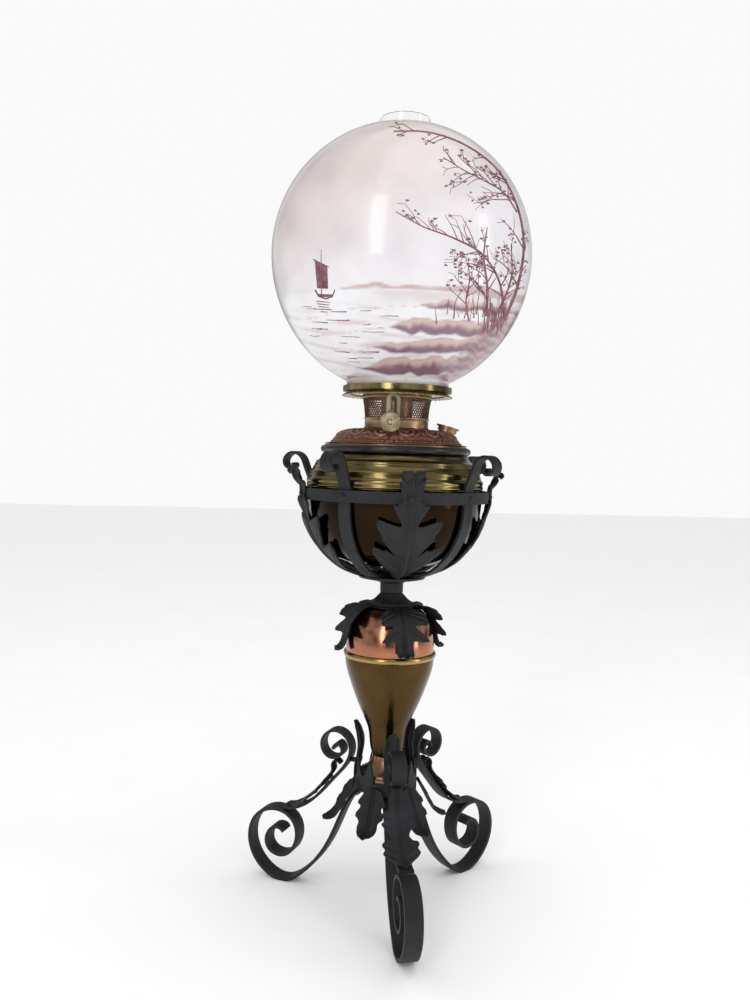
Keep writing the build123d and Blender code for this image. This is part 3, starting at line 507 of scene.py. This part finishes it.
COLUMNS, ROWS, DRUM_FOOT, DRUM_HEAD = 72, 9, 487.2, 507.6
LATTICE_WALL, CELL_OPENING, FRAME_GAP = 0.7, 0.76, 7.4  # FRAME_GAP keeps the cells clear of the rack frame
pitch = (DRUM_HEAD - DRUM_FOOT) / (ROWS + 1 / 3)
corners, faces = [], []
for row in range(ROWS):
    for column in range(COLUMNS):
        turn = 360 / COLUMNS * (column + row % 2 / 2)
        away = abs((turn - KNOB_AZIMUTH + 180) % 360 - 180)
        middle = DRUM_FOOT + pitch * (row + 2 / 3)
        if away * math.radians(drum_radius(middle)) < FRAME_GAP:
            continue
        first = len(corners)
        for depth in (0, -LATTICE_WALL):
            for size in (1.0, CELL_OPENING):
                for corner in range(6):
                    angle = math.radians(60 * corner + 30)
                    height = middle + 2 / 3 * pitch * size * math.sin(angle)
                    step = math.radians(360 / COLUMNS) / math.sqrt(3) * size * math.cos(angle)
                    radius = drum_radius(height) + depth
                    spot = math.radians(turn) + step
                    corners.append((radius * math.cos(spot), radius * math.sin(spot), height))
        for corner in range(6):
            after = (corner + 1) % 6
            a, b, c, d = first + corner, first + after, first + 6 + after, first + 6 + corner
            faces += [(a, b, c, d), (a + 12, d + 12, c + 12, b + 12)]
            faces += [(d, c, c + 12, d + 12), (b, a, a + 12, b + 12)]
piece("draft_cage_lattice", corners, faces, "font", "lattice_copper", flat=True)
band = [(30.5, 476.6), (31.9, 476.6), (32.4, 477.5), (31.6, 478.6), (31.6, 485.2), (32.3, 486), (32.3, 487.2),
        (31.5, 487.8), (30.5, 487.8)]
head = [(32.9, 506.4), (34.2, 506.4), (34.6, 507.2), (34.5, 508), (33.2, 508)]
opening = math.degrees(6.6 / 32)


def slotted(outline, columns=400):
    """Ring with a gap at the rack frame."""
    turns = np.radians(np.linspace(KNOB_AZIMUTH + opening, KNOB_AZIMUTH + 360 - opening, columns))
    count = len(outline)
    points = [(r * math.cos(t), r * math.sin(t), z) for t in turns for r, z in outline]
    quads = [tuple(range(count))[::-1], tuple((columns - 1) * count + corner for corner in range(count))]
    for step in range(columns - 1):
        for corner in range(count):
            after = (corner + 1) % count
            here = step * count
            quads.append((here + corner, here + after, here + count + after, here + count + corner))
    return points, quads


points, quads = slotted(band)
corners = np.vstack([points, round_section(head, 240)])
piece("draft_cage_rims", corners, quads + ring_faces(len(head), 240, len(points)), "font", "burner_brass",
      instead_of=["draft_cage"])


# ---------------------------------------------------------------- crimped gallery under the globe
def crimp(index, radius, height, angles):
    if index in (2, 3, 4):
        wave = np.cos(angles * 56)
        return 0.35 * wave, -0.3 * wave
    return 0 * angles, 0 * angles


gallery = [(46, 510.2), (50, 509.6), (53.2, 508.6), (54.6, 508.4), (54.4, 509.4), (52, 510.4)]
piece("gallery_crimp", round_section(gallery, 640, crimp), ring_faces(len(gallery), 640), "font", "ring_brass")


# ---------------------------------------------------------------- wick knob
def knob_piece():
    """Ribbed disc with a dished face, a raised boss and a bright screw end, in (radius, forward) steps."""
    line = [(0, 66.6), (1.6, 66.4), (2.3, 65.7), (2.6, 64.9), (3.4, 64.5), (4.4, 64.5), (8, 64.3), (9.2, 63.7),
            (9.8, 62.9), (9.8, 61), (9.2, 60.2), (3, 60), (1.4, 60)]
    columns, ribs_round, spindle_height = 240, 24, 481
    angles = np.arange(columns) * 2 * math.pi / columns
    out = Vector((math.cos(math.radians(KNOB_AZIMUTH)), math.sin(math.radians(KNOB_AZIMUTH)), 0))
    side = Vector((-out.y, out.x, 0))
    points = []
    for radius, forward in line:
        ribs = np.cos(angles * ribs_round)
        rim = 0.3 * ribs if radius > 9 else 0 * ribs
        face = 0.35 * ribs if 4 < radius < 9.3 and forward > 63 else 0 * ribs
        for angle, r, f in zip(angles, radius + rim, forward + face):
            spot = out * f + side * (r * math.cos(angle)) + Vector((0, 0, spindle_height + r * math.sin(angle)))
            points.append(tuple(spot))
    faces = ring_faces(len(line), columns, loop=False)
    faces.append(tuple(range(columns))[::-1])
    faces.append(tuple((len(line) - 1) * columns + column for column in range(columns)))
    piece("wick_knob_ribbed", points, faces, "wick_key", "knob_brass", instead_of=["wick_knob"])


knob_piece()

# ---------------------------------------------------------------- painted globe
# The ball's widest radius and its height above and below that level, its wall, and the radii of its two openings.
CENTRE, RADIUS, UPPER, LOWER, WALL, HOLE, FITTER = 645.0, 127.5, 127.0, 132.5, 2.5, 36.0, 50.8
# The way the painted scene faces.
facing, SCENE_TILT = math.radians(-100.8), math.radians(11.3)


def globe_line(inset, step):
    radius = RADIUS - inset
    crown, foot = math.acos(HOLE / radius), -math.acos((FITTER - inset) / radius)
    angles = np.arange(foot, crown, step / RADIUS)
    angles = np.append(angles, crown)
    heights = np.where(angles > 0, UPPER, LOWER) - inset
    return np.c_[radius * np.cos(angles), CENTRE + heights * np.sin(angles)]


def picture_place(points):
    """Where a point of the globe lies in the painter's picture: right, up and towards the viewer."""
    right = -points[:, 0] * math.sin(facing) + points[:, 1] * math.cos(facing)
    near = points[:, 0] * math.cos(facing) + points[:, 1] * math.sin(facing)
    rise = points[:, 2] - CENTRE
    up = rise * math.cos(SCENE_TILT) + near * math.sin(SCENE_TILT)
    return right, up, near * math.cos(SCENE_TILT) - rise * math.sin(SCENE_TILT)


def on_globe(right, up, proud):
    """Point of the glass that shows at a place of the picture, standing a little proud of it."""
    near = math.sqrt(max(0, RADIUS**2 - right**2 - up**2))
    ahead = near * math.cos(SCENE_TILT) + up * math.sin(SCENE_TILT)
    rise = up * math.cos(SCENE_TILT) - near * math.sin(SCENE_TILT)
    spot = np.array([ahead * math.cos(facing) - right * math.sin(facing),
                     ahead * math.sin(facing) + right * math.cos(facing), rise])
    spot /= np.linalg.norm(spot)
    spot *= RADIUS + proud
    if spot[2] < 0:
        spot[2] *= LOWER / RADIUS
    return spot + (0, 0, CENTRE)


def smooth_random(seed, length, scale):
    """Repeatable wandering line between -1 and 1, over a length about 0, with a knot at each scale."""
    generator = np.random.default_rng(seed)
    knots = generator.uniform(-1, 1, int(length / scale) + 3)
    return lambda x: np.interp((x + length / 2) / scale, np.arange(len(knots)), knots)


def soft(x, start, end):
    """0 up to start, 1 from end, and smooth in between."""
    t = np.clip((x - start) / (end - start), 0, 1)
    return t * t * (3 - 2 * t)


SKY_HIGH, SKY_LOW = np.array((0.66, 0.585, 0.57)), np.array((0.8, 0.78, 0.82))
WATER, WATER_PALE = np.array((0.78, 0.79, 0.83)), np.array((0.93, 0.92, 0.92))
HILL, PLUM, MAROON, SAND = (
    np.array(tone) for tone in ((0.5, 0.34, 0.32), (0.2, 0.085, 0.145), (0.33, 0.15, 0.18), (0.62, 0.45, 0.4))
)
HORIZON = -27.0


def painting(points):
    """Colour of each point: sky, far shore, water and the near banks."""
    right, up, near = picture_place(points)
    count = len(points)
    drift = smooth_random(3, 400, 22)
    cloud = 0.5 + 0.5 * np.sin(right * 0.035 + 2.2 * np.sin(up * 0.045 + drift(right)) + up * 0.02)
    high = soft(up - 0.5 * right, -25, 120)[:, None]
    colour = SKY_LOW * (1 - high) + SKY_HIGH * high
    colour = colour + 0.06 * (cloud[:, None] - 0.5) * (0.4 + high)
    horizon = HORIZON - 0.0009 * right**2 + 1.2 * smooth_random(8, 400, 9)(right)
    water = soft(horizon - up, -0.6, 0.9)[:, None]
    stripes = np.sin(up * 0.55 + 1.6 * np.sin(right * 0.05 + up * 0.11)) * np.sin(right * 0.045 + up * 0.21)
    depth = soft(horizon - up, 0, 75)[:, None]
    lake = WATER * (0.75 - 0.25 * depth) + WATER_PALE * (0.25 + 0.25 * depth)
    brushed = (soft(stripes, 0.3, 0.75) * soft(horizon - up, 6, 26) * (1 - 0.5 * soft(right, 0, 60)))[:, None]
    lake = lake - np.c_[0.1, 0.19, 0.17] * brushed + 0.035 * soft(-stripes, 0.2, 0.8)[:, None]
    colour = colour * (1 - water) + lake * water
    hills = horizon + 4.5 * soft(right, -66, -20) * (0.75 + 0.35 * smooth_random(15, 400, 14)(right))
    hills = hills + 4 * soft(right, 20, 80)
    hill = soft(hills - up, -0.5, 1.0)[:, None] * (1 - water) * soft(right, -74, -50)[:, None]
    colour = colour * (1 - 0.8 * hill) + HILL * 0.8 * hill
    below = horizon - up
    shimmer = (soft(below, 0, 2) * (1 - soft(below, 5, 14)) * soft(right, -40, 0))[:, None]
    colour = colour * (1 - 0.35 * shimmer) + HILL * 0.35 * shimmer
    # Each bank: level, left end, right end, half thickness, seed.
    banks = [(-41, 24, 130, 3.6, 5), (-60, 0, 130, 7, 11), (-77, -14, 140, 6.5, 17), (-97, -24, 120, 8.5, 23),
             (-110, -76, -16, 5, 29)]
    for level, start, end, thick, seed in banks:
        shape = smooth_random(seed, 400, 11)
        middle = level + 2.0 * shape(right) - 0.0012 * (right - 30) ** 2
        reach = soft(right, start - 14, start + 16) * (1 - soft(right, end - 20, end))
        half = thick * reach * (1 + 0.25 * shape(right * 1.7))
        inside = soft(half - np.abs(up - middle), -0.9, 1.3)[:, None]
        face = (up - middle) / np.maximum(half, 1)
        tone = soft(face + 0.35 * np.sin(right * 0.3 + seed) * shape(right * 2.3), -0.35, 0.55)[:, None]
        lip = soft(face, 0.72, 0.95)[:, None]
        paint = PLUM * (1 - tone) + SAND * tone
        paint = paint * (1 - 0.6 * lip) + MAROON * 0.6 * lip
        colour = colour * (1 - 0.92 * inside) + paint * 0.92 * inside
    grain = smooth_random(41, 400, 5)
    slope = right + 0.75 * (-50 - up) + 5 * grain(right * 1.3) + 3 * np.sin(up * 0.8)
    mass = (soft(slope, 74, 98) * soft(-up, 46, 56))[:, None]
    streak = (0.5 + 0.5 * np.sin(up * 0.7 + 0.35 * right + 2 * grain(right)))[:, None]
    colour = colour * (1 - 0.85 * mass) + (PLUM * streak + (0.6 * MAROON + 0.4 * SAND) * (1 - streak)) * 0.85 * mass
    back = soft(-near, -15, 40)[:, None]
    plain = SKY_LOW * 0.55 + WATER_PALE * 0.45
    colour = colour * (1 - back) + plain * back
    return np.c_[np.clip(colour, 0, 1), np.ones(count)]


def globe_piece():
    fine, coarse = 1.75, 4.2
    front = np.arange(-math.pi / 2 - 0.25, math.pi / 2 + 0.25, fine / RADIUS)
    rear = np.linspace(math.pi / 2 + 0.25, 3 * math.pi / 2 - 0.25, int((math.pi - 0.5) * RADIUS / coarse))
    turns = np.concatenate([front, rear[:-1]]) + facing
    outside, inside = globe_line(0, fine), globe_line(WALL, 6)
    line = np.vstack([outside, [(HOLE - 0.9, outside[-1, 1] + 0.2)], inside[::-1]])
    floor = 513.1
    line = np.vstack([line, [(FITTER - WALL, floor), (FITTER, floor)]])
    corners = np.concatenate([np.c_[r * np.cos(turns), r * np.sin(turns), np.full(len(turns), z)] for r, z in line])
    globe = piece("globe_painted", corners, ring_faces(len(line), len(turns)), "shade", "opal_glass",
                  instead_of=["globe"])
    layer = globe.data.color_attributes.new("wash", "FLOAT_COLOR", "POINT")
    colours = painting(corners)
    inner = np.repeat(np.arange(len(line)) >= len(outside), len(turns))
    colours[inner] = (0.9, 0.88, 0.85, 1)
    layer.data.foreach_set("color", colours.ravel())


globe_piece()
random.seed(11)
stroke_points, stroke_faces = [], []


def stroke(line, start_width, end_width):
    """Tapered brush stroke along (right, up) places of the picture."""
    line = [np.array(point, float) for point in line]
    finer = [line[0]]
    for before, after in zip(line, line[1:]):
        parts = max(1, int(np.linalg.norm(after - before) / 2.5) + 1)
        finer += [before + (after - before) * part / parts for part in range(1, parts + 1)]
    line = finer
    base = len(stroke_points)
    count = len(line)
    for index, point in enumerate(line):
        ahead = line[min(index + 1, count - 1)] - line[max(index - 1, 0)]
        ahead = ahead / (np.linalg.norm(ahead) + 1e-9)
        half = (start_width + (end_width - start_width) * index / (count - 1)) / 2
        across = np.array((-ahead[1], ahead[0])) * max(half, 0.08)
        for proud in (0.07, -0.15):
            for sign in (1, -1):
                stroke_points.append(on_globe(*(point + sign * across), proud))
    for index in range(count - 1):
        a = base + 4 * index
        b = a + 4
        stroke_faces.extend([(a, a + 1, b + 1, b), (a + 2, b + 2, b + 3, a + 3)])
        stroke_faces.extend([(a, b, b + 2, a + 2), (a + 1, a + 3, b + 3, b + 1)])
    last = base + 4 * (count - 1)
    stroke_faces.extend([(base, base + 2, base + 3, base + 1), (last, last + 1, last + 3, last + 2)])


def grown(start, heading, length, width, bend, depth):
    """Branch that wanders, thins and forks."""
    steps = max(4, int(length / 4))
    point, line = np.array(start, float), [tuple(start)]
    for index in range(steps):
        heading += random.gauss(0, 0.11) + bend / steps
        point = point + length / steps * np.array((math.cos(heading), math.sin(heading)))
        if np.hypot(*point) > 118:
            break
        line.append(tuple(point))
        if depth and index > 1 and random.random() < 0.5:
            turn = random.choice((-1, 1)) * random.uniform(0.45, 0.95)
            share = 1 - index / steps
            grown(point, heading + turn, length * random.uniform(0.35, 0.6) * (0.45 + share * 0.55),
                  width * share * 0.5 + 0.2, bend * 0.4, depth - 1)
        if depth < 2 and random.random() < 0.22:
            dab = point + np.array((random.uniform(-3, 3), random.uniform(-3, 3)))
            stroke([dab, dab + (random.uniform(1.5, 3.5), random.uniform(-1, 1))], 2.2, 0.6)
    if len(line) > 2:
        stroke(line, width, max(0.35, width * 0.25))


def limb(line, width, twigs, lean):
    """Long bough along a given line, with twigs that leave it on both sides."""
    places, smooth = dense(line, 3)
    stroke(list(smooth), width, width * 0.3)
    for index in range(3, len(smooth) - 1):
        if random.random() > twigs:
            continue
        ahead = smooth[index] - smooth[index - 1]
        heading = math.atan2(ahead[1], ahead[0]) + random.choice((-1, 1)) * random.uniform(0.4, 0.9)
        share = 1 - index / len(smooth)
        grown(smooth[index], heading, random.uniform(12, 30) * (0.5 + share), 0.5 + width * share * 0.4, lean, 1)


limb([(99, -48), (108, -22), (112, 12), (105, 46), (86, 78), (56, 98), (22, 108), (-10, 108)], 3.6, 0.36, 0.4)
limb([(104, 42), (90, 58), (72, 66), (52, 74), (34, 84)], 1.8, 0.55, 0.3)
limb([(96, -46), (88, -18), (70, 4), (44, 16), (18, 24), (-6, 36)], 2.4, 0.42, 0.3)
limb([(78, -48), (77, -24), (72, 2), (74, 26)], 3.0, 0.5, 0.2)
limb([(62, -52), (58, -34), (60, -14), (54, 4)], 1.6, 0.55, 0.2)
limb([(90, -44), (100, -16), (98, 14)], 2.6, 0.5, 0.2)
grown((48, -50), math.radians(86), 30, 1.3, -0.4, 1)
for _ in range(130):  # reeds on the banks
    root_right = 112 - abs(random.gauss(0, 26))
    root_up = random.uniform(-58, -40) - 0.001 * root_right**2
    if math.hypot(root_right, root_up) > 114 or root_right < 30:
        continue
    tall, lean = random.uniform(6, 24), random.uniform(-5, 3)
    stroke([(root_right, root_up), (root_right + lean * 0.3, root_up + tall * 0.5),
            (root_right + lean, root_up + tall)], random.uniform(0.6, 1.2), 0.3)
for _ in range(52):  # ripples
    place_right, place_up = random.uniform(-100, 10), random.uniform(-100, -40)
    if math.hypot(place_right, place_up) > 110 or random.random() > (0.2 - place_right / 100):
        continue
    length = random.uniform(5, 20)
    stroke([(place_right, place_up), (place_right + length / 2, place_up + random.uniform(-0.6, 0.6)),
            (place_right + length, place_up + 0.4)], 0.35, random.uniform(0.5, 1.1))
# small sailing boat
for step in range(10):
    stroke([(-75.5 + 1.15 * step, -5 - 0.45 * step), (-73.5 + 1.02 * step, -27.5)], 1.35, 1.2)
stroke([(-70, -32), (-70.4, 5)], 0.9, 0.5)
stroke([(-78, -3.6), (-63, -9.6)], 1.0, 0.7)
stroke([(-76, -29), (-73, -34), (-66, -36), (-60, -34), (-57.5, -28)], 1.6, 1.0)
stroke([(-73.5, -33.5), (-60, -33.2)], 2.6, 2.2)
for step in range(5):
    stroke([(-75 + step, -38.5 - 2.2 * step), (-62 - 0.5 * step, -39 - 2.1 * step)], 0.9, 0.4)
PAINT = dull("paint_finish", (0.12, 0.035, 0.055), (0.3, 0.125, 0.14), (0.3, 0.5), 160, 0.2)
piece("globe_brushwork", stroke_points, stroke_faces, "shade", "opal_glass", finish=PAINT)


# ---------------------------------------------------------------- softened edges on the bars
for name, node in frame["nodes"].items():
    if name.startswith(("leg", "brace_", "cage_strap", "hoop")) and "leaf" not in name:
        bevel = node.modifiers.new("soft_edges", "BEVEL")
        bevel.width = 0.5 * MM
        bevel.segments = 2
        bevel.limit_method = "ANGLE"
        bevel.angle_limit = math.radians(50)

# ---------------------------------------------------------------- floor, light and camera
ground = dull("ground_finish", (0.925, 0.925, 0.925), (0.94, 0.94, 0.94), (0.8, 0.86), 6, 0.01)
bpy.ops.mesh.primitive_plane_add(size=14, location=(0, 0, 0))
floor = bpy.context.object
floor.name = "floor"
floor.data.materials.append(ground)

world = bpy.data.worlds.new("studio")
bpy.context.scene.world = world
world.use_nodes = True
links, nodes = world.node_tree.links, world.node_tree.nodes
# White paper all round. Mirror reflections alone see a dimmer, cloudy room, so that metal and glass show form.
room = nodes["Background"]
room.inputs["Color"].default_value = (0.92, 0.96, 1, 1)
shapes = nodes.new("ShaderNodeTexNoise")
shapes.inputs["Scale"].default_value = 2.3
shapes.inputs["Detail"].default_value = 1.5
dimness = nodes.new("ShaderNodeMapRange")
for name, value in zip(("From Min", "From Max", "To Min", "To Max"), (0.38, 0.62, 0.07, 0.62)):
    dimness.inputs[name].default_value = value
links.new(nodes.new("ShaderNodeTexCoord").outputs["Generated"], shapes.inputs["Vector"])
links.new(shapes.outputs["Fac"], dimness.inputs["Value"])
links.new(dimness.outputs["Result"], room.inputs["Strength"])
paper = nodes.new("ShaderNodeBackground")
paper.inputs["Color"].default_value = (1, 1, 1, 1)
paper.inputs["Strength"].default_value = 0.95
path = nodes.new("ShaderNodeLightPath")
mirrored = nodes.new("ShaderNodeMath")
mirrored.operation = "GREATER_THAN"
difference = nodes.new("ShaderNodeMath")
difference.operation = "SUBTRACT"
links.new(path.outputs["Is Glossy Ray"], difference.inputs[0])
links.new(path.outputs["Is Transmission Ray"], difference.inputs[1])
links.new(difference.outputs[0], mirrored.inputs[0])
choice = nodes.new("ShaderNodeMixShader")
links.new(mirrored.outputs[0], choice.inputs[0])
links.new(paper.outputs[0], choice.inputs[1])
links.new(room.outputs[0], choice.inputs[2])
links.new(choice.outputs[0], next(n for n in nodes if n.type == "OUTPUT_WORLD").inputs["Surface"])
LAMP_MIDDLE = (0, 0, 0.4)


def softbox(name, location, size, power):
    """Rectangular light that faces the lamp's middle."""
    data = bpy.data.lights.new(name, "AREA")
    data.shape = "RECTANGLE"
    data.size, data.size_y = size
    data.energy = power
    light = bpy.data.objects.new(name, data)
    light.location = location
    light.rotation_mode = "QUATERNION"
    light.rotation_quaternion = (Vector(LAMP_MIDDLE) - Vector(location)).to_track_quat("-Z", "Y")
    bpy.context.scene.collection.objects.link(light)


softbox("key", (-0.9, -1.5, 1.1), (0.4, 1.5), 7)
softbox("fill", (1.6, -0.9, 0.8), (0.3, 1.4), 4.5)
softbox("top", (0.1, -0.1, 2.2), (1.6, 1.6), 5)

YAW, PITCH, ROLL = math.radians(1.2), math.radians(2.5), math.radians(1.65)
camera_data = bpy.data.cameras.new("camera")
camera_data.sensor_width = 36
camera_data.lens = 32.6
camera = bpy.data.objects.new("camera", camera_data)
camera.location = (-0.1695, -0.889, 0.445)
aim = Matrix.Rotation(YAW, 3, "Z") @ Vector((0.187, 0.982, 0)).normalized()
aim.z = -math.tan(PITCH)
camera.rotation_mode = "QUATERNION"
turn = aim.normalized().to_track_quat("-Z", "Y").to_matrix().to_4x4() @ Matrix.Rotation(ROLL, 4, "Z")
camera.rotation_quaternion = turn.to_quaternion()
bpy.context.scene.collection.objects.link(camera)
bpy.context.scene.camera = camera
bpy.context.scene.view_settings.view_transform = "Standard"
